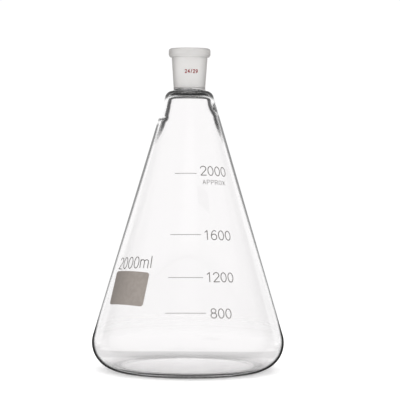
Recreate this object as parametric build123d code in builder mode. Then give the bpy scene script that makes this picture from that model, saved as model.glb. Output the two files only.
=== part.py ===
from build123d import *
import os
from math import atan, cos, degrees, radians, sin, tan

# Conical (Erlenmeyer) flask of borosilicate glass, 2000 ml, with a 24/29 ground socket.
# Millimetres, +Z up. The origin is the centre of the foot plane and the printed
# scale faces -Y. An azimuth is measured from -Y and grows towards +X.

# ---------------------------------------------------------------- driving dimensions
overall_height = 277.0
body_diameter = 166.0
cone_half_angle = 16.6
heel_radius = 23.5
heel_bend = 45.0            # below this angle the inner heel turns tighter than the outer one

wall = 1.4
floor_thickness = 3.0
foot_push_up = 2.5          # rise of the foot's centre, so that it stands on a ring
foot_ring_width = 4.0

shoulder_height = 240.5     # highest point of the rounded shoulder
shoulder_radius = 7.0
shoulder_thickness = 4.5    # glass between the shoulder's top and its underside
shoulder_inner_radius = 4.5
thick_wall = 3.5            # the worked glass below the shoulder is thicker
thick_wall_end = 214.0      # height where it has thinned down to the plain wall

joint_wide_bore = 24.0      # diameter of the ground bore at its wide end
joint_ground_length = 29.0
joint_taper = 1 / 10        # loss of diameter per length
plain_length = 5.5          # from the ground length down to the weld
socket_outer_top = 30.8     # outer diameter just under the bead
socket_outer_bottom = 27.2  # outer diameter at the weld
bead_diameter = 36.0
bead_height = 7.6
bead_corner = 2.4
bead_band = 3.2             # straight part of the bead, below its rounded corner
bead_step = 0.8             # the bead narrows by this much towards its lower edge
bead_neck_fillet = 0.7
mouth_flare = 0.7           # rounding of the bore's upper edge

weld_edge_angle = 80.0      # where the weld leaves the shoulder arc, from the horizontal
weld_inner_radius = 13.2    # where the weld meets the underside of the shoulder
weld_lip = 1.6              # rounding of the bore's lower edge

enamel_thickness = 0.12     # height of the fired enamel above the glass
body_margin = 5.0           # the enamel stays this far from the ends of the conical wall
socket_margin = 2.0         # and of the socket's plain wall

# Scale: volume in ml -> height of the line, azimuths of its two ends, height of its
# figures, azimuth of the middle of the first figure
scale_marks = {
    800: (55.5, -14.4, 11.6, 55.4, 16.8),
    1200: (84.2, -14.2, 11.0, 84.7, 15.3),
    1600: (119.3, -15.5, 11.1, 119.1, 16.0),
    2000: (170.1, -16.7, 9.6, 172.5, 18.1),
}
line_stroke = 0.4
row_tilt = 6.5              # each printed row lies in a plane tilted by this much, so it sags
row_azimuth = 2.0           # towards its ends; the rows are highest at this azimuth

# Lettering: height and width of a figure, gap to the next one and pen width
scale_lettering = (8.5, 5.5, 1.05, 0.7)
capacity_lettering = (10.3, 5.8, 1.3, 0.7)
approx_lettering = (4.0, 2.95, 0.85, 0.36)
joint_mark_lettering = (3.4, 2.0, 0.45, 0.55)
relative_width = {"m": 1.5, "l": 0.4, "/": 0.8}     # of a figure's width
reach = 1.0                 # characters cross the curved enamel layer by this much each way

# Middle of each mark: height, azimuth. The two rows of lettering on the body sag too.
approx_place = (163.0, 30.9)
capacity_place = (97.2, -47.0)
spot_place = (73.8, -47.6)
joint_mark_place = (257.0, 6.6)

spot_width = 42.0
spot_height = 29.0
spot_corner = 2.4
spot_turn = 5.4             # degrees the spot is turned by, so that it stays level with the rows

# ---------------------------------------------------------------- worked-out geometry
foot_radius = body_diameter / 2 - heel_radius
foot_ring_inner = foot_radius - foot_ring_width
slope = tan(radians(cone_half_angle))
lean_cos = cos(radians(cone_half_angle))
lean_sin = sin(radians(cone_half_angle))

cone_foot = (foot_radius + heel_radius * lean_cos, heel_radius * (1 + lean_sin))


def cone_radius(height, depth=0.0):
    """Radius of the conical wall at a height, a given depth under the outer surface."""
    return cone_foot[0] - (height - cone_foot[1]) * slope - depth / lean_cos


def tangent_circle(height, radius, depth=0.0):
    """Centre radius of a circle at a height that touches the conical wall from inside."""
    return cone_radius(height, depth) - radius / lean_cos


def on_circle(centre, radius, angle):
    """Point of a circle at an angle from the horizontal, in the radius-height plane."""
    return (centre[0] + radius * cos(radians(angle)), centre[1] + radius * sin(radians(angle)))


# Outer shoulder
shoulder_low = shoulder_height - shoulder_radius
shoulder_centre = (tangent_circle(shoulder_low, shoulder_radius), shoulder_low)
cone_top = on_circle(shoulder_centre, shoulder_radius, cone_half_angle)
weld_outer = on_circle(shoulder_centre, shoulder_radius, weld_edge_angle)

# Inner shoulder
shoulder_under = shoulder_height - shoulder_thickness
inner_low = shoulder_under - shoulder_inner_radius
inner_centre = (tangent_circle(inner_low, shoulder_inner_radius, thick_wall), inner_low)
inner_top = (inner_centre[0], shoulder_under)
inner_cone_top = on_circle(inner_centre, shoulder_inner_radius, cone_half_angle)
inner_cone_waist = (cone_radius(thick_wall_end, wall), thick_wall_end)
weld_inner = (weld_inner_radius, shoulder_under)

# Inner heel and floor
heel_centre = (foot_radius, heel_radius)
upper_heel = heel_radius - wall
bend_sin = sin(radians(heel_bend))
lower_heel = (heel_radius - floor_thickness - upper_heel * bend_sin) / (1 - bend_sin)
inner_cone_foot = on_circle(heel_centre, upper_heel, cone_half_angle)
heel_turn = on_circle(heel_centre, upper_heel, -heel_bend)
floor_edge = (on_circle(heel_centre, upper_heel - lower_heel, -heel_bend)[0], floor_thickness)
floor_ring_inner = (foot_ring_inner, floor_thickness)
floor_centre = (0, foot_push_up + floor_thickness)

# Socket
socket_foot = overall_height - joint_ground_length - plain_length
bead_foot = overall_height - bead_height
bead_radius = bead_diameter / 2
socket_outer_slope = (socket_outer_top - socket_outer_bottom) / 2 / (bead_foot - socket_foot)
socket_lean = degrees(atan(socket_outer_slope))


def bore_radius(height):
    """Radius of the 1:10 ground bore at a height."""
    return joint_wide_bore / 2 - (overall_height - height) * joint_taper / 2


def socket_radius(height):
    """Outer radius of the socket's tapered wall at a height."""
    return socket_outer_bottom / 2 + (height - socket_foot) * socket_outer_slope


os.makedirs("parts", exist_ok=True)


def write_piece(builder, name):
    """Label a finished piece and write it as one STEP file."""
    builder.part.label = name
    export_step(builder.part, f"parts/{name}.step")


# ---------------------------------------------------------------- glass pieces

# Blown body: foot, heel, conical wall and rounded shoulder, open at the top for the weld.
with BuildPart() as conical_body:
    with BuildSketch(Plane.XZ):
        with BuildLine():
            TangentArc((0, foot_push_up), (foot_ring_inner, 0), tangent=(1, 0))
            Line((foot_ring_inner, 0), (foot_radius, 0))
            TangentArc((foot_radius, 0), cone_foot, tangent=(1, 0))
            Line(cone_foot, cone_top)
            TangentArc(cone_top, weld_outer, tangent=(-lean_sin, lean_cos))
            Line(weld_outer, weld_inner)
            Line(weld_inner, inner_top)
            TangentArc(inner_top, inner_cone_top, tangent=(1, 0))
            Line(inner_cone_top, inner_cone_waist)
            Line(inner_cone_waist, inner_cone_foot)
            TangentArc(inner_cone_foot, heel_turn, tangent=(lean_sin, -lean_cos))
            TangentArc(heel_turn, floor_edge, tangent=(-bend_sin, -cos(radians(heel_bend))))
            Line(floor_edge, floor_ring_inner)
            TangentArc(floor_centre, floor_ring_inner, tangent=(1, 0))
            Line(floor_centre, (0, foot_push_up))
        make_face()
    revolve(axis=Axis.Z)
write_piece(conical_body, "conical_body")

# Weld: the ring of hand-worked glass that fills the corner between socket and shoulder,
# with a concave outside and a rounded lip at the lower end of the bore.
tube_inside = (bore_radius(socket_foot), socket_foot)
tube_outside = (socket_radius(socket_foot), socket_foot)
lip_top = (tube_inside[0], shoulder_under + weld_lip)
lip_under = (tube_inside[0] + weld_lip, shoulder_under)
with BuildPart() as seal_ring:
    with BuildSketch(Plane.XZ):
        with BuildLine():
            TangentArc(tube_outside, weld_outer, tangent=(-socket_outer_slope, -1))
            Line(weld_outer, weld_inner)
            Line(weld_inner, lip_under)
            TangentArc(lip_under, lip_top, tangent=(-1, 0))
            Line(lip_top, tube_inside)
            Line(tube_inside, tube_outside)
        make_face()
    revolve(axis=Axis.Z)
write_piece(seal_ring, "seal_ring")

# Ground socket: tapered tube with a 1:10 bore and a rounded bead round the mouth.
with BuildPart() as ground_socket:
    with BuildSketch(Plane.XZ):
        with BuildLine():
            Polyline(
                tube_inside,
                tube_outside,
                (socket_radius(bead_foot), bead_foot),
                (bead_radius - bead_step, bead_foot),
                (bead_radius, overall_height - bead_corner - bead_band),
                (bead_radius, overall_height),
                (bore_radius(overall_height), overall_height),
                close=True,
            )
        make_face()
        mouth_corners = vertices().group_by(Axis.Y)[-1].sort_by(Axis.X)
        fillet(mouth_corners[-1], radius=bead_corner)
        fillet(mouth_corners[0], radius=mouth_flare)
        fillet(vertices().group_by(Axis.Y)[1], radius=bead_neck_fillet)
    revolve(axis=Axis.Z)
write_piece(ground_socket, "ground_socket")

# ---------------------------------------------------------------- fired enamel marks


def enamel_profile(radius_at, lean, low, high):
    """Corners of the enamel layer's section on a wall, between two heights."""
    out = enamel_thickness * cos(radians(lean))
    up = enamel_thickness * sin(radians(lean))
    inner = [(radius_at(height), height) for height in (low, high)]
    outer = [(radius + out, height + up) for radius, height in reversed(inner)]
    return inner + outer


def wall_plane(radius_at, lean, height, azimuth):
    """Plane tangent to a round wall, with +X to the reader's right and +Y up the wall."""
    turn = radians(azimuth)
    tilt = radians(lean)
    radius = radius_at(height)
    return Plane(
        origin=(radius * sin(turn), -radius * cos(turn), height),
        x_dir=(cos(turn), sin(turn), 0),
        z_dir=(cos(tilt) * sin(turn), -cos(tilt) * cos(turn), sin(tilt)),
    )


def row_sag(radius_at, height, azimuth):
    """Drop and downward slope in degrees of a printed row at an azimuth."""
    turn = radians(azimuth - row_azimuth)
    steepness = tan(radians(row_tilt))
    return radius_at(height) * steepness * (1 - cos(turn)), degrees(atan(steepness * sin(turn)))


def pen_arc(centre, width, height, start, sweep):
    """Elliptical pen stroke by its centre, full width and full height."""
    return EllipticalCenterArc(centre, width / 2, height / 2, start, arc_size=sweep)


def pen_path(character, w, h):
    """Centre lines of one character in a box w wide and h high, corner at the origin."""
    if character in "0O":
        pen_arc((w / 2, h / 2), w, h, 0, 360)
    elif character == "1":
        Polyline((0.64 * w, 0), (0.64 * w, h), (0.24 * w, 0.80 * h))
    elif character == "2":
        hook = pen_arc((w / 2, 0.72 * h), w, 0.56 * h, -28, 193)
        Polyline(hook @ 0, (0, 0), (w, 0))
    elif character == "4":
        Polyline((0.74 * w, 0), (0.74 * w, h), (0, 0.30 * h), (w, 0.30 * h))
    elif character == "6":
        pen_arc((w / 2, 0.31 * h), w, 0.62 * h, 0, 360)
        pen_arc((0.62 * w, 0.31 * h), 1.24 * w, 1.38 * h, 64, 116)
    elif character == "8":
        pen_arc((w / 2, 0.27 * h), w, 0.54 * h, 0, 360)
        pen_arc((w / 2, 0.77 * h), 0.86 * w, 0.46 * h, 0, 360)
    elif character == "9":
        pen_arc((w / 2, 0.69 * h), w, 0.62 * h, 0, 360)
        pen_arc((0.38 * w, 0.69 * h), 1.24 * w, 1.38 * h, 244, 116)
    elif character == "/":
        Line((0.1 * w, 0), (0.9 * w, h))
    elif character == "l":
        Line((w / 2, 0), (w / 2, h))
    elif character == "m":
        Line((0, 0), (0, 0.72 * h))
        for arch in (0, 0.5):
            crown = pen_arc(((arch + 0.25) * w, 0.54 * h), w / 2, 0.36 * h, 0, 180)
            Line(crown @ 0, ((arch + 0.5) * w, 0))
    elif character == "A":
        Polyline((0, 0), (w / 2, h), (w, 0))
        Line((0.18 * w, 0.36 * h), (0.82 * w, 0.36 * h))
    elif character in "PR":
        Polyline((0, 0), (0, h), (0.55 * w, h))
        pen_arc((0.55 * w, 0.75 * h), 0.90 * w, 0.50 * h, -90, 180)
        Line((0, h / 2), (0.55 * w, h / 2))
        if character == "R":
            Line((0.5 * w, h / 2), (w, 0))
    elif character == "X":
        Line((0, 0), (w, h))
        Line((0, h), (w, 0))


def character_sketch(character, plane, w, h, pen):
    """One character drawn with a round pen, its box centred on the plane's origin."""
    corner = plane.shift_origin(plane.from_local_coords((-w / 2, -h / 2)))
    with BuildLine() as strokes:
        pen_path(character, w, h)
    with BuildSketch(corner) as drawn:
        for line in strokes.edges():
            trace(line, line_width=pen)
            if not line.is_closed:
                with Locations(line @ 0, line @ 1):
                    Circle(pen / 2)
    return drawn.sketch


def wrapped_text(text, radius_at, lean, lettering, height, azimuth, centred=True, sagging=True):
    """Sketches of a row of characters set round a wall.

    The azimuth is the middle of the row, or of its first character.
    """
    high, wide, gap, pen = lettering
    widths = [wide * relative_width.get(character, 1.0) for character in text]
    middles = [sum(widths[:i]) + gap * i + widths[i] / 2 for i in range(len(text))]
    start = (sum(widths) + gap * (len(text) - 1)) / 2 if centred else middles[0]
    sketches = []
    for character, width, middle in zip(text, widths, middles):
        turn = azimuth + degrees((middle - start) / radius_at(height))
        drop, fall = row_sag(radius_at, height, turn) if sagging else (0, 0)
        plane = wall_plane(radius_at, lean, height - drop, turn).rotated((0, 0, -fall))
        sketches.append(character_sketch(character, plane, width - pen, high - pen, pen))
    return sketches


# Layers of enamel that cover a whole wall; each mark is cut out of one of them.
with BuildPart() as body_enamel:
    enamel_low = cone_foot[1] + body_margin
    enamel_high = cone_top[1] - body_margin
    with BuildSketch(Plane.XZ):
        with BuildLine():
            Polyline(
                *enamel_profile(cone_radius, cone_half_angle, enamel_low, enamel_high), close=True
            )
        make_face()
    revolve(axis=Axis.Z)

with BuildPart() as socket_enamel:
    enamel_low = socket_foot + socket_margin
    enamel_high = bead_foot - socket_margin
    with BuildSketch(Plane.XZ):
        with BuildLine():
            Polyline(
                *enamel_profile(socket_radius, -socket_lean, enamel_low, enamel_high), close=True
            )
        make_face()
    revolve(axis=Axis.Z)

# Scale lines with their figures.
for volume, (height, left, right, figure_height, first_figure) in scale_marks.items():
    line_radius = cone_radius(height)
    line_left = line_radius * sin(radians(left - row_azimuth))
    line_right = line_radius * sin(radians(right - row_azimuth))
    with BuildPart() as graduation_line:
        with BuildSketch(wall_plane(cone_radius, row_tilt, height, row_azimuth)):
            with Locations(((line_left + line_right) / 2, 0)):
                Rectangle(line_right - line_left, line_stroke)
        extrude(amount=line_radius / 4, both=True)
        add(body_enamel.part, mode=Mode.INTERSECT)
    write_piece(graduation_line, f"graduation_line_{volume}")

    with BuildPart() as figures:
        for sketch in wrapped_text(
            str(volume), cone_radius, cone_half_angle, scale_lettering, figure_height, first_figure,
            centred=False,
        ):
            extrude(sketch, amount=reach, both=True)
        add(body_enamel.part, mode=Mode.INTERSECT)
    write_piece(figures, f"figures_{volume}")

# The word under the top figure.
with BuildPart() as approx_mark:
    for sketch in wrapped_text("APPROX", cone_radius, cone_half_angle, approx_lettering, *approx_place):
        extrude(sketch, amount=reach, both=True)
    add(body_enamel.part, mode=Mode.INTERSECT)
write_piece(approx_mark, "approx_mark")

# Capacity, above the marking spot.
with BuildPart() as capacity_figures:
    for sketch in wrapped_text("2000ml", cone_radius, cone_half_angle, capacity_lettering, *capacity_place):
        extrude(sketch, amount=reach, both=True)
    add(body_enamel.part, mode=Mode.INTERSECT)
write_piece(capacity_figures, "capacity_figures")

# Matt spot for pencil notes.
with BuildPart() as marking_spot:
    with BuildSketch(wall_plane(cone_radius, cone_half_angle, *spot_place).rotated((0, 0, spot_turn))):
        RectangleRounded(spot_width, spot_height, spot_corner)
    extrude(amount=spot_width / 4, both=True)
    add(body_enamel.part, mode=Mode.INTERSECT)
write_piece(marking_spot, "marking_spot")

# Joint size, on the socket.
with BuildPart() as joint_size_mark:
    for sketch in wrapped_text(
        "24/29", socket_radius, -socket_lean, joint_mark_lettering, *joint_mark_place, sagging=False
    ):
        extrude(sketch, amount=reach, both=True)
    add(socket_enamel.part, mode=Mode.INTERSECT)
write_piece(joint_size_mark, "joint_size_mark")
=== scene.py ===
from math import cos, pi, radians, sin, tan

import bmesh
import bpy
from mathutils import Matrix, Vector


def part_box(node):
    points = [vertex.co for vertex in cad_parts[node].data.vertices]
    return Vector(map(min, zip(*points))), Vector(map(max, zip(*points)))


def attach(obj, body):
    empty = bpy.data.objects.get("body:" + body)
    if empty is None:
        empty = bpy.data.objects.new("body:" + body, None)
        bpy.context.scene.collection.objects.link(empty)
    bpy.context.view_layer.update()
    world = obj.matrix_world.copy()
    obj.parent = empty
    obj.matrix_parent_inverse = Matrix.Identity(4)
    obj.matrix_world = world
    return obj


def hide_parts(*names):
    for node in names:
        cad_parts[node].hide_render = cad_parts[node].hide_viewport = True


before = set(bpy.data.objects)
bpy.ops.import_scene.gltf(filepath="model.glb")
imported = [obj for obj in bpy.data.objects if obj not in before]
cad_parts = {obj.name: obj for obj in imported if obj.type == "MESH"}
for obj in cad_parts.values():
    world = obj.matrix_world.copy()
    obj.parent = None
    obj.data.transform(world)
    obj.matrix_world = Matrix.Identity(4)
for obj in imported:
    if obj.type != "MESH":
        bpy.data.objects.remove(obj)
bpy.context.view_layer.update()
MM = 0.001

# ------------------------------------------------------------------ driving dimensions, mm
# Blown body and ground socket. An azimuth is measured from the front, -Y, and grows
# towards +X.
rim_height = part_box("ground_socket")[1].z / MM
socket_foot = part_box("ground_socket")[0].z / MM
body_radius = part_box("conical_body")[1].x / MM
cone_half_angle = 16.6
heel_radius = 23.5
wall = 1.4
floor_thickness = 3.0
heel_bend = 45                # the inner heel turns tighter below this angle
foot_push_up = 2.5
foot_ring_width = 4.0

shoulder_height = 240.5
shoulder_radius = 7.0
shoulder_under = 236.0
shoulder_inner_radius = 4.5
weld_angle = 80               # where the weld leaves the shoulder arc

ground_length = 29.0
bore_top_radius = 12.0
bore_taper = 1 / 20
mouth_flare = 0.7
bore_lip = 1.6
socket_top_radius = 15.4
socket_foot_radius = 13.6
bead_height = 7.6
bead_radius = 18.0
bead_corner = 2.4
bead_band = 3.2
bead_step = 0.8
bead_heel = 0.5
neck_fillet = 0.7
seam = 0.02                   # gap between the clear glass and the ground socket

around = 256                  # steps round the axis

# ------------------------------------------------------------------ worked-out geometry
slope = tan(radians(cone_half_angle))
lean_cos = cos(radians(cone_half_angle))


def on_circle(centre, radius, angle):
    """Point of a circle at an angle from the horizontal, as (radius, height)."""
    return (centre[0] + radius * cos(radians(angle)), centre[1] + radius * sin(radians(angle)))


foot_radius = body_radius - heel_radius
foot_ring_inner = foot_radius - foot_ring_width
heel_centre = (foot_radius, heel_radius)
cone_foot = on_circle(heel_centre, heel_radius, cone_half_angle)


def cone_radius(height, depth=0.0):
    """Radius of the conical wall at a height, a given depth under the outer surface."""
    return cone_foot[0] - (height - cone_foot[1]) * slope - depth / lean_cos


def bore_radius(height):
    """Radius of the tapered ground bore at a height."""
    return bore_top_radius - (rim_height - height) * bore_taper


shoulder_low = shoulder_height - shoulder_radius
shoulder_centre = (cone_radius(shoulder_low) - shoulder_radius / lean_cos, shoulder_low)
cone_top = on_circle(shoulder_centre, shoulder_radius, cone_half_angle)
weld_edge = on_circle(shoulder_centre, shoulder_radius, weld_angle)

inner_low = shoulder_under - shoulder_inner_radius
inner_shoulder = (cone_radius(inner_low, wall) - shoulder_inner_radius / lean_cos, inner_low)
inner_cone_top = on_circle(inner_shoulder, shoulder_inner_radius, cone_half_angle)

# The inner heel follows the outer one down to a bend, and turns tighter from there.
upper_heel = heel_radius - wall
bend_sin = sin(radians(heel_bend))
lower_heel = (heel_radius - floor_thickness - upper_heel * bend_sin) / (1 - bend_sin)
lower_heel_centre = on_circle(heel_centre, upper_heel - lower_heel, -heel_bend)
inner_cone_foot = on_circle(heel_centre, upper_heel, cone_half_angle)

tube = bore_radius(socket_foot)
ground_end = rim_height - ground_length
bead_foot = rim_height - bead_height


# ------------------------------------------------------------------ profile helpers
def line(start, end, steps):
    """Points from start towards end, without the end itself."""
    return [
        (start[0] + (end[0] - start[0]) * i / steps, start[1] + (end[1] - start[1]) * i / steps)
        for i in range(steps)
    ]


def arc(centre, radius, start, end, steps):
    """Points of an arc between two angles in degrees, without the last one."""
    return [on_circle(centre, radius, start + (end - start) * i / steps) for i in range(steps)]


def curve(start, control, end, steps):
    """Points of a quadratic curve, without the last one."""
    points = []
    for i in range(steps):
        t = i / steps
        shares = ((1 - t) ** 2, 2 * t * (1 - t), t * t)
        points.append(tuple(
            shares[0] * start[k] + shares[1] * control[k] + shares[2] * end[k] for k in (0, 1)
        ))
    return points


def dome(rim_radius, height, rise, steps):
    """Shallow dome from its top on the axis to its rim, without the rim."""
    return [
        (rim_radius * i / steps, height + rise * (1 - (i / steps) ** 2)) for i in range(steps)
    ]


def smooth_step(value):
    """0 below 0, 1 above 1, and an even swing between."""
    t = max(0.0, min(1.0, value))
    return t * t * (3 - 2 * t)


def lathe(name, sections):
    """Closed skin of revolution.

    A section is (points, slot, shape): slot is a material index, or a function of height and
    azimuth that gives one, and shape moves a point by its azimuth.
    """
    rows = [(point, slot, shape) for points, slot, shape in sections for point in points]
    mesh = bmesh.new()
    rings = []
    for (radius, height), slot, shape in rows:
        if radius < 1e-6:
            rings.append([mesh.verts.new((0, 0, height * MM))])
            continue
        ring = []
        for step in range(around):
            azimuth = 2 * pi * step / around
            r, z = shape(radius, height, azimuth) if shape else (radius, height)
            ring.append(mesh.verts.new((r * sin(azimuth) * MM, -r * cos(azimuth) * MM, z * MM)))
        rings.append(ring)
    open_on_axis = len(rings[0]) == 1
    for i in range(len(rings) - 1 if open_on_axis else len(rings)):
        this, following = rings[i], rings[(i + 1) % len(rings)]
        (_, height), slot, _ = rows[i]
        for step in range(around):
            after = step + 1
            corners = [this[step % len(this)], this[after % len(this)],
                       following[after % len(following)], following[step % len(following)]]
            face = mesh.faces.new(list(dict.fromkeys(corners)))
            face.smooth = True
            azimuth = 2 * pi * (step + 0.5) / around
            face.material_index = slot(height, azimuth) if callable(slot) else slot
    bmesh.ops.recalc_face_normals(mesh, faces=mesh.faces)
    data = bpy.data.meshes.new(name)
    mesh.to_mesh(data)
    mesh.free()
    piece = bpy.data.objects.new(name, data)
    bpy.context.scene.collection.objects.link(piece)
    return piece


# ------------------------------------------------------------------ flask body
# Hand work left the wall under the shoulder thicker: heavy on the left, light on the right.
fold_height = 213.5           # a fold runs round the inside here
fold_run = 5.0                # and comes in over this height
fold_depth = 0.8
heavy_foot = 186.0            # the heavy side has thinned down to the plain wall here
heavy_depth = 1.1
light_foot = 219.0            # and the light side here
light_run = 13.0
light_depth = 1.7
left_focus = 1.5              # above 1, the heavy glass keeps nearer to the left side

# The upper part of the weld is frosted like the socket, down to a wavy line.
frost_line = weld_edge[1] + 0.6
frost_wave = 1.2
frost_crest = -0.6            # azimuth in radians where the line is highest

# material slots of the body and of the socket
outer_slot, frosted_slot, weld_slot, inner_slot = range(4)
skin_slot, bore_slot = range(2)


def wall_depth(height, azimuth):
    """Extra thickness of the hand-worked wall."""
    left = ((1 - sin(azimuth)) / 2) ** left_focus
    fold = fold_depth * smooth_step((height - fold_height) / fold_run)
    heavy = heavy_depth * smooth_step((height - heavy_foot) / (fold_height - heavy_foot))
    light = light_depth * smooth_step((height - light_foot) / light_run)
    return (fold + heavy) * left + light * (1 - left)


def worked(radius, height, azimuth):
    """Moves the inner surface in where the glass is thicker, fading out towards the bore."""
    share = smooth_step((radius - tube - bore_lip) / (inner_shoulder[0] - tube))
    return radius - wall_depth(height, azimuth) * share / lean_cos, height


def weld_material(height, azimuth):
    """Material slot on the outside of the weld."""
    line_height = frost_line + frost_wave * cos(azimuth - frost_crest)
    return frosted_slot if height > line_height else weld_slot


worked_foot = (cone_radius(heavy_foot, wall), heavy_foot)
outside = (
    dome(foot_ring_inner, 0, foot_push_up, 16)
    + line((foot_ring_inner, 0), (foot_radius, 0), 3)
    + arc(heel_centre, heel_radius, -90, cone_half_angle, 60)
    + line(cone_foot, cone_top, 40)
    + arc(shoulder_centre, shoulder_radius, cone_half_angle, weld_angle, 14)
)
weld_outside = curve(
    weld_edge, (socket_foot_radius, weld_edge[1]), (socket_foot_radius, socket_foot), 12
)
weld_inside = (
    line((socket_foot_radius, socket_foot), (tube, socket_foot), 3)
    + line((tube, socket_foot), (tube, shoulder_under + bore_lip), 4)
    + arc((tube + bore_lip, shoulder_under + bore_lip), bore_lip, 180, 270, 6)
)
inside = (
    line((tube + bore_lip, shoulder_under), (inner_shoulder[0], shoulder_under), 4)
    + arc(inner_shoulder, shoulder_inner_radius, 90, cone_half_angle, 10)
    + line(inner_cone_top, worked_foot, 90)
    + line(worked_foot, inner_cone_foot, 30)
    + arc(heel_centre, upper_heel, cone_half_angle, -heel_bend, 36)
    + arc(lower_heel_centre, lower_heel, -heel_bend, -90, 24)
    + line((lower_heel_centre[0], floor_thickness), (foot_ring_inner, floor_thickness), 3)
    + list(reversed(dome(foot_ring_inner, floor_thickness, foot_push_up, 16)))
)
flask_body = lathe("flask_body", [
    (outside, outer_slot, None),
    (weld_outside, weld_material, None),
    (weld_inside, weld_slot, None),
    (inside, inner_slot, worked),
])
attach(flask_body, "root")
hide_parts("conical_body", "seal_ring")

# ------------------------------------------------------------------ ground socket
socket_base = socket_foot + seam
neck = socket_top_radius + neck_fillet
bead_waist = bead_radius - bead_step
bead_low = rim_height - bead_corner - bead_band
bead_high = rim_height - bead_corner
mouth = bore_top_radius + mouth_flare
socket_outside = (
    line((tube, socket_base), (socket_foot_radius, socket_base), 3)
    + line((socket_foot_radius, socket_base), (socket_top_radius, bead_foot - neck_fillet), 20)
    + arc((neck, bead_foot - neck_fillet), neck_fillet, 180, 90, 5)
    + line((neck, bead_foot), (bead_waist - bead_heel, bead_foot), 1)
    + arc((bead_waist - bead_heel, bead_foot + bead_heel), bead_heel, -90, 0, 5)
    + line((bead_waist, bead_foot + bead_heel), (bead_radius, bead_low), 2)
    + line((bead_radius, bead_low), (bead_radius, bead_high), 3)
    + arc((bead_radius - bead_corner, bead_high), bead_corner, 0, 90, 10)
    + line((bead_radius - bead_corner, rim_height), (mouth, rim_height), 3)
    + arc((mouth, rim_height - mouth_flare), mouth_flare, 90, 180, 5)
)
bore_start = rim_height - mouth_flare
ground_bore = line(
    (bore_radius(bore_start), bore_start), (bore_radius(ground_end), ground_end), 24
)
plain_bore = line((bore_radius(ground_end), ground_end), (tube, socket_base), 4)
frosted_socket = lathe("frosted_socket", [
    (socket_outside, skin_slot, None),
    (ground_bore, bore_slot, None),
    (plain_bore, skin_slot, None),
])
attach(frosted_socket, "root")
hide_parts("ground_socket")


# ------------------------------------------------------------------ node helpers
class Nodes:
    """Short ways to add and join nodes in one node tree."""

    def __init__(self, tree):
        self.tree = tree

    def add(self, kind, **settings):
        node = self.tree.nodes.new("ShaderNode" + kind)
        for key, value in settings.items():
            setattr(node, key, value)
        return node

    def feed(self, value, socket):
        """Set a socket to a number or colour, or link another node's output to it."""
        if isinstance(value, bpy.types.NodeSocket):
            self.tree.links.new(value, socket)
        else:
            socket.default_value = value

    def math(self, operation, *values):
        """Result of one arithmetic operation."""
        node = self.add("Math", operation=operation)
        for value, socket in zip(values, node.inputs):
            self.feed(value, socket)
        return node.outputs[0]

    def ramp(self, value, low, high, at_low=0.0, at_high=1.0):
        """Smooth ramp from at_low, where value is low, to at_high."""
        node = self.add("MapRange", interpolation_type="SMOOTHSTEP")
        inputs = ("Value", "From Min", "From Max", "To Min", "To Max")
        for name, setting in zip(inputs, (value, low, high, at_low, at_high)):
            self.feed(setting, node.inputs[name])
        return node.outputs["Result"]

    def mix(self, share, first, second):
        """Mix of two colours: the first where share is 0, the second where it is 1."""
        node = self.add("Mix", data_type="RGBA")
        self.feed(share, node.inputs["Factor"])
        for setting, socket in ((first, node.inputs[6]), (second, node.inputs[7])):
            self.feed(setting, socket)
        return node.outputs[2]

    def split(self, vector):
        """The X, Y and Z of a vector."""
        node = self.add("SeparateXYZ")
        self.feed(vector, node.inputs[0])
        return node.outputs

    def place(self):
        """Place on the object, in metres."""
        return self.add("TexCoord").outputs["Object"]

    def noise(self, scale, detail):
        """Noise at so many cells per metre, fixed to the object."""
        node = self.add("TexNoise")
        self.feed(self.place(), node.inputs["Vector"])
        self.feed(scale, node.inputs["Scale"])
        self.feed(detail, node.inputs["Detail"])
        return node.outputs[0]

    def bump(self, relief, depth):
        """Surface relief, so many millimetres deep."""
        node = self.add("Bump")
        self.feed(relief, node.inputs["Height"])
        self.feed(depth * MM, node.inputs["Distance"])
        return node.outputs["Normal"]

    def facing(self):
        """0 where a surface faces the viewer, 1 where it turns edge-on."""
        return self.add("LayerWeight").outputs["Facing"]

    def by_height(self, span, at_low=0.0, at_high=1.0):
        """Smooth ramp over a span of heights on the object, given in millimetres."""
        height = self.split(self.place())["Z"]
        return self.ramp(height, span[0] * MM, span[1] * MM, at_low, at_high)

    def in_camera_axes(self, vector):
        """A world direction split into the camera's own axes."""
        turned = self.add(
            "VectorTransform", vector_type="VECTOR", convert_from="WORLD", convert_to="CAMERA"
        )
        self.feed(vector, turned.inputs[0])
        return self.split(turned.outputs[0])


def new_material(name):
    """A new material, its nodes, and its Principled BSDF."""
    made = bpy.data.materials.new(name)
    made.use_nodes = True
    return made, Nodes(made.node_tree), made.node_tree.nodes["Principled BSDF"]


def grey(value):
    return (value, value, value, 1)


def grain_surface(nodes, shader, scale, depth, roughness, spread):
    """Fine grain in the relief and the roughness of a matt surface."""
    grain = nodes.noise(scale=scale, detail=2.0)
    rough = nodes.ramp(grain, 0.3, 0.7, roughness - spread, roughness + spread)
    nodes.feed(rough, shader.inputs["Roughness"])
    nodes.feed(nodes.bump(grain, depth), shader.inputs["Normal"])


# ------------------------------------------------------------------ glass materials
glass_ior = 1.473             # borosilicate
clear_tint = (0.983, 0.976, 0.978, 1)

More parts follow.
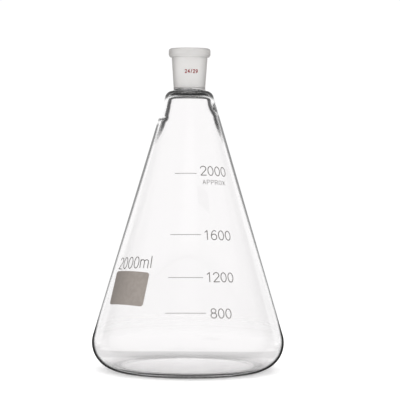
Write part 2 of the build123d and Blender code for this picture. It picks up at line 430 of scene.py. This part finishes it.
# A dark line is painted into the clear glass where it turns edge-on: painted shade, with less light
# let through there. Each kind of line has a strength, and a start on the facing scale, 0 face-on
# and 1 edge-on. Heights are in mm.
heel_line = (0.99, 0.69)
cone_line = (0.82, 0.76)
worked_line = (0.0, 0.60)     # none outside on the worked glass: the inner surface has the line
shoulder_line = (0.92, 0.45)
inner_line = (1.0, 0.42)
line_width = 0.12             # on the facing scale
# colour of the painted dark line: painted shade
painted_edge_tone = 0.015
line_roughness = 0.4
heel_softens = (30.0, 55.0)   # where the line gets softer, from heel to cone
heel_narrows = (20.0, 50.0)   # and narrower
cone_widens = (50.0, 220.0)   # then wider again, up the cone
worked_left = 212.0           # where the worked glass starts on the left
worked_right = 220.0          # and on the right
side_blend = 10.0             # half width of the change from left to right
worked_fade = (-2.0, 3.0)     # how the outer line fades out past that start
shoulder_darkens = (shoulder_low - 3.5, shoulder_low + 2.5)
shoulder_widens = (shoulder_low - 2.5, shoulder_low + 3.5)
inner_starts = (190.0, 215.0)
painted_shade_heights = (shoulder_height - 3.0, shoulder_height - 1.5)   # painted shade above this, greying the glass at the weld
painted_shade_tone = 0.42


def outer_edge(nodes):
    """Strength and start of the painted dark line on the outer surface."""
    aside = nodes.split(nodes.place())["X"]
    worked_start = nodes.ramp(
        aside, -side_blend * MM, side_blend * MM, worked_left * MM, worked_right * MM
    )
    past_start = nodes.math("SUBTRACT", nodes.split(nodes.place())["Z"], worked_start)
    strength = nodes.by_height(heel_softens, heel_line[0], cone_line[0])
    fade_start, fade_end = worked_fade
    strength = nodes.ramp(past_start, fade_start * MM, fade_end * MM, strength, worked_line[0])
    strength = nodes.by_height(shoulder_darkens, strength, shoulder_line[0])
    start = nodes.by_height(heel_narrows, heel_line[1], cone_line[1])
    start = nodes.by_height(cone_widens, start, worked_line[1])
    start = nodes.by_height(shoulder_widens, start, shoulder_line[1])
    return strength, start


def inner_edge(nodes):
    """Strength and start of the painted dark line on the inner surface, on the worked glass only.
    """
    strength = nodes.by_height(inner_starts, 0.0, inner_line[0])
    start = nodes.by_height(inner_starts, worked_line[1], inner_line[1])
    return strength, start


def clear_glass(name, edge_of):
    """Blown glass, slightly wavy, greyed at the weld and darkened where it turns edge-on, both
    painted shade.
    """
    made, nodes, shader = new_material(name)
    strength, start = edge_of(nodes)
    edge = nodes.ramp(nodes.facing(), start, nodes.math("ADD", start, line_width))
    # painted shade: how strongly the dark edge line is painted into the colour
    painted_edge_shade = nodes.math("MULTIPLY", edge, strength)
    # painted shade: the glass is greyed above the shoulder, at the weld
    body = nodes.mix(nodes.by_height(painted_shade_heights), clear_tint, grey(painted_shade_tone))
    nodes.feed(nodes.mix(painted_edge_shade, body, grey(painted_edge_tone)), shader.inputs["Base Color"])
    nodes.feed(nodes.math("MULTIPLY", painted_edge_shade, line_roughness), shader.inputs["Roughness"])
    nodes.feed(nodes.ramp(painted_edge_shade, 0.0, 1.0, 0.5, 0.0), shader.inputs["Specular IOR Level"])
    waves = nodes.noise(scale=14.0, detail=1.0)
    nodes.feed(nodes.bump(waves, depth=0.05), shader.inputs["Normal"])
    nodes.feed(glass_ior, shader.inputs["IOR"])
    nodes.feed(nodes.math("SUBTRACT", 1.0, painted_edge_shade), shader.inputs["Transmission Weight"])
    return made


def weld_glass():
    """Hand-worked glass of the weld, full of fine draw lines, tinted dark grey as painted shade."""
    made, nodes, shader = new_material("weld_glass")
    lines = nodes.noise(scale=420.0, detail=2.0)
    # painted shade: dark grey tint, streaked by the draw lines
    nodes.feed(nodes.mix(lines, grey(0.20), grey(0.58)), shader.inputs["Base Color"])
    nodes.feed(0.05, shader.inputs["Roughness"])
    nodes.feed(nodes.bump(lines, depth=0.20), shader.inputs["Normal"])
    nodes.feed(glass_ior, shader.inputs["IOR"])
    nodes.feed(1.0, shader.inputs["Transmission Weight"])
    return made


def frosted_glass(name, roughness, bulk):
    """Ground glass: rough see-through glass with a white ground skin of fine grain.

    Painted shade darkens it where it turns away, and a little on the bead. bulk is the share of it
    that scatters light and isn't see-through.
    """
    made, nodes, shader = new_material(name)
    # painted shade: the colour it turns to where it turns away
    turned = (0.40, 0.38, 0.37, 1)
    cloud = nodes.ramp(nodes.noise(scale=90.0, detail=4.0), 0.35, 0.70)
    face_on = nodes.mix(cloud, (0.97, 0.955, 0.94, 1), (1.0, 0.99, 0.98, 1))
    color = nodes.mix(nodes.ramp(nodes.facing(), 0.10, 0.85), face_on, turned)
    # painted shade on the bead
    painted_bead_shade = nodes.by_height((bead_foot, bead_foot + bead_step), 0.0, 0.22)
    nodes.feed(nodes.mix(painted_bead_shade, color, turned), shader.inputs["Base Color"])
    grain_surface(nodes, shader, scale=2600.0, depth=0.03, roughness=roughness, spread=0.06)
    nodes.feed(glass_ior, shader.inputs["IOR"])
    nodes.feed(1 - bulk, shader.inputs["Transmission Weight"])
    return made


frosted_skin = frosted_glass("frosted_skin", roughness=0.40, bulk=0.68)
body_materials = (
    clear_glass("outer_glass", outer_edge),
    frosted_skin,
    weld_glass(),
    clear_glass("inner_glass", inner_edge),
)
for material in body_materials:
    flask_body.data.materials.append(material)
for material in (frosted_skin, frosted_glass("ground_bore", roughness=0.50, bulk=0.30)):
    frosted_socket.data.materials.append(material)


# ------------------------------------------------------------------ enamel materials
def enamel(name, color, roughness=0.5, mottle=0.2, turned=0.9):
    """Fired enamel: patchy ink with a fine grain, and painted shade where it turns away."""
    made, nodes, shader = new_material(name)

    def shade(factor):
        return tuple(min(1.0, part * factor) for part in color) + (1,)

    patches = nodes.ramp(nodes.noise(scale=260.0, detail=5.0), 0.30, 0.70)
    ink = nodes.mix(patches, shade(1 - mottle), shade(1 + mottle))
    # painted shade where the enamel turns away; turned sets how dark
    painted_away_shade = nodes.ramp(nodes.facing(), 0.15, 0.75)
    nodes.feed(nodes.mix(painted_away_shade, ink, shade(turned)), shader.inputs["Base Color"])
    grain_surface(nodes, shader, scale=3000.0, depth=0.02, roughness=roughness, spread=0.08)
    nodes.feed(0.15, shader.inputs["Specular IOR Level"])
    return made


scale_ink = enamel("scale_enamel", (0.135, 0.124, 0.117))
# the marking spot gets stronger painted shade where it turns away
spot_ink = enamel("spot_enamel", (0.33, 0.295, 0.27), roughness=0.8, mottle=0.07, turned=0.60)
enamel_of = {
    "graduation_line": scale_ink,
    "figures": scale_ink,
    "approx_mark": scale_ink,
    "capacity_figures": enamel("capacity_enamel", (0.085, 0.077, 0.071)),
    "marking_spot": spot_ink,
    "joint_size_mark": enamel("red_enamel", (0.28, 0.0, 0.002)),
}
for name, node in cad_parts.items():
    for start, material in enamel_of.items():
        if name.startswith(start):
            node.data.materials.clear()
            node.data.materials.append(material)


# ------------------------------------------------------------------ studio
# What is seen through glass or mirrored by it depends on the direction from the camera: there is
# a bright field straight behind the flask, and a slightly dimmer room round it. Matt surfaces,
# the floor among them, are lit by a soft white dome.
field_edge = (0.50, 0.66)     # from none to full, where 1 is straight ahead and 0 is to the side
field_tone = 1.03
room_edge = (0.45, 0.15)      # from beside the field out to the side
room_tones = (0.55, 0.80)
lamp_edge = (0.45, 0.65)      # soft lamp overhead, from none to full, where 1 is straight up
lamp_in_glass = 0.2
dome_tone = 0.75
lamp_in_dome = 0.75           # what the lamp adds to the dome

# The floor, in metres. Its directions are those back to the camera: -1 is straight back.
floor_reach = 0.55
floor_fade_start = 0.25
floor_color = 0.93
floor_glow = 0.25
# Seen through the glass the floor carries painted shade, set by these ahead and aside tones.
floor_ahead_edge = (-0.60, -0.85)
floor_ahead_tones = (0.8, 0.90)
floor_aside_edge = (0.15, 0.32)
floor_aside_tone = 0.65
shadow_start = 0.050          # seen through the glass, a soft shadow lies behind the flask
shadow_end = 0.112
shadow_start_blur = 0.010
shadow_end_blur = 0.005
shadow_tone = 0.62
past_shadow_tone = 0.80
contact_radius = (foot_radius + 2.0) * MM    # painted contact shadow: a thin dark line on the floor under the heel
contact_edge = (0.002, 0.005)
painted_contact_shadow_tone = 0.50


def through_glass(nodes):
    """1 for a ray seen through glass or mirrored, 0 for one seen straight or lighting a surface."""
    path = nodes.add("LightPath")
    through = nodes.math(
        "MAXIMUM", path.outputs["Is Transmission Ray"], path.outputs["Is Glossy Ray"]
    )
    fresh = nodes.math("LESS_THAN", path.outputs["Diffuse Depth"], 0.5)
    return nodes.math("MULTIPLY", through, fresh)


def floor_in_glass(nodes):
    """Tone of the floor as glass shows it: painted shade, dimmer to the sides and in the flask's
    shadow.
    """
    back = nodes.in_camera_axes(nodes.add("NewGeometry").outputs["Incoming"])
    ahead = nodes.ramp(back["Z"], *floor_ahead_edge, *floor_ahead_tones)
    sideways = nodes.math("ABSOLUTE", back["X"])
    aside = nodes.ramp(sideways, *floor_aside_edge, 1.0, floor_aside_tone)
    depth = nodes.split(nodes.place())["Y"]
    shadow = nodes.ramp(
        depth, shadow_start - shadow_start_blur, shadow_start + shadow_start_blur, 1.0, shadow_tone
    )
    shadow = nodes.ramp(
        depth, shadow_end - shadow_end_blur, shadow_end + shadow_end_blur, shadow, past_shadow_tone
    )
    return nodes.math("MULTIPLY", nodes.math("MULTIPLY", ahead, aside), shadow)


def pale_floor():
    """Pale floor that fades out far off, with a painted contact shadow: a thin dark line round the
    foot.
    """
    made, nodes, shader = new_material("pale_floor")
    distance = nodes.add("VectorMath", operation="LENGTH")
    nodes.feed(nodes.place(), distance.inputs[0])
    from_axis = distance.outputs["Value"]
    dimming = nodes.math("SUBTRACT", 1.0, floor_in_glass(nodes))
    tone = nodes.math("SUBTRACT", 1.0, nodes.math("MULTIPLY", dimming, through_glass(nodes)))
    # painted contact shadow round the foot
    from_contact = nodes.math("ABSOLUTE", nodes.math("SUBTRACT", from_axis, contact_radius))
    painted_contact_shadow = nodes.ramp(from_contact, *contact_edge, painted_contact_shadow_tone, 1.0)
    tone = nodes.math("MULTIPLY", tone, painted_contact_shadow)
    nodes.feed(nodes.math("MULTIPLY", tone, floor_color), shader.inputs["Base Color"])
    nodes.feed(grey(1.0), shader.inputs["Emission Color"])
    nodes.feed(nodes.math("MULTIPLY", tone, floor_glow), shader.inputs["Emission Strength"])
    nodes.feed(0.9, shader.inputs["Roughness"])
    nodes.feed(0.0, shader.inputs["Specular IOR Level"])
    faded = nodes.add("MixShader")
    nodes.feed(nodes.ramp(from_axis, floor_fade_start, floor_reach), faded.inputs[0])
    nodes.feed(shader.outputs[0], faded.inputs[1])
    nodes.feed(nodes.add("BsdfTransparent").outputs[0], faded.inputs[2])
    nodes.feed(faded.outputs[0], made.node_tree.nodes["Material Output"].inputs["Surface"])
    return made


def add_floor():
    """Round floor under the flask."""
    mesh = bmesh.new()
    bmesh.ops.create_circle(mesh, cap_ends=True, segments=128, radius=floor_reach)
    data = bpy.data.meshes.new("floor")
    mesh.to_mesh(data)
    mesh.free()
    floor = bpy.data.objects.new("floor", data)
    bpy.context.scene.collection.objects.link(floor)
    data.materials.append(pale_floor())


def add_studio_light():
    """World that lights the scene and shows the surroundings in the glass."""
    world = bpy.data.worlds.new("studio")
    bpy.context.scene.world = world
    world.use_nodes = True
    world.node_tree.nodes.clear()
    sky = Nodes(world.node_tree)
    direction = sky.add("TexCoord").outputs["Generated"]
    ahead = sky.in_camera_axes(direction)["Z"]
    lamp = sky.ramp(sky.split(direction)["Z"], *lamp_edge)
    field = sky.ramp(ahead, *field_edge, 0.0, field_tone)
    room = sky.ramp(ahead, *room_edge, *room_tones)
    glass_lamp = sky.math("MULTIPLY", lamp, lamp_in_glass)
    glass_view = sky.math("MAXIMUM", sky.math("MAXIMUM", field, room), glass_lamp)
    dome = sky.math("ADD", dome_tone, sky.math("MULTIPLY", lamp, lamp_in_dome))
    dome_light = sky.math("MAXIMUM", field, dome)
    background = sky.add("Background")
    sky.feed(sky.mix(through_glass(sky), dome_light, glass_view), background.inputs["Color"])
    sky.feed(background.outputs[0], sky.add("OutputWorld").inputs["Surface"])


add_floor()
add_studio_light()

# ------------------------------------------------------------------ camera, in metres
camera_distance = 1.5
eye_height = 0.190
aim = Vector((0.0097, 0, 0.1465))
roll = radians(0.35)
picture_width = 0.3453        # what the picture spans at the flask's axis

camera_data = bpy.data.cameras.new("camera")
camera = bpy.data.objects.new("camera", camera_data)
bpy.context.scene.collection.objects.link(camera)
bpy.context.scene.camera = camera
camera_data.sensor_width = 36
camera_data.lens = camera_data.sensor_width * camera_distance / picture_width
camera_data.clip_start = 0.01
camera_data.clip_end = 100
camera.location = Vector((aim.x, -camera_distance, eye_height))
camera.rotation_mode = "QUATERNION"
look = (aim - camera.location).to_track_quat("-Z", "Y")
camera.rotation_quaternion = look @ Matrix.Rotation(roll, 3, "Z").to_quaternion()

# Light crosses many glass surfaces, so it may bounce more often than usual.
scene = bpy.context.scene
scene.view_settings.view_transform = "Standard"
scene.cycles.max_bounces = 24
scene.cycles.transmission_bounces = 24
scene.cycles.glossy_bounces = 12
scene.cycles.transparent_max_bounces = 16
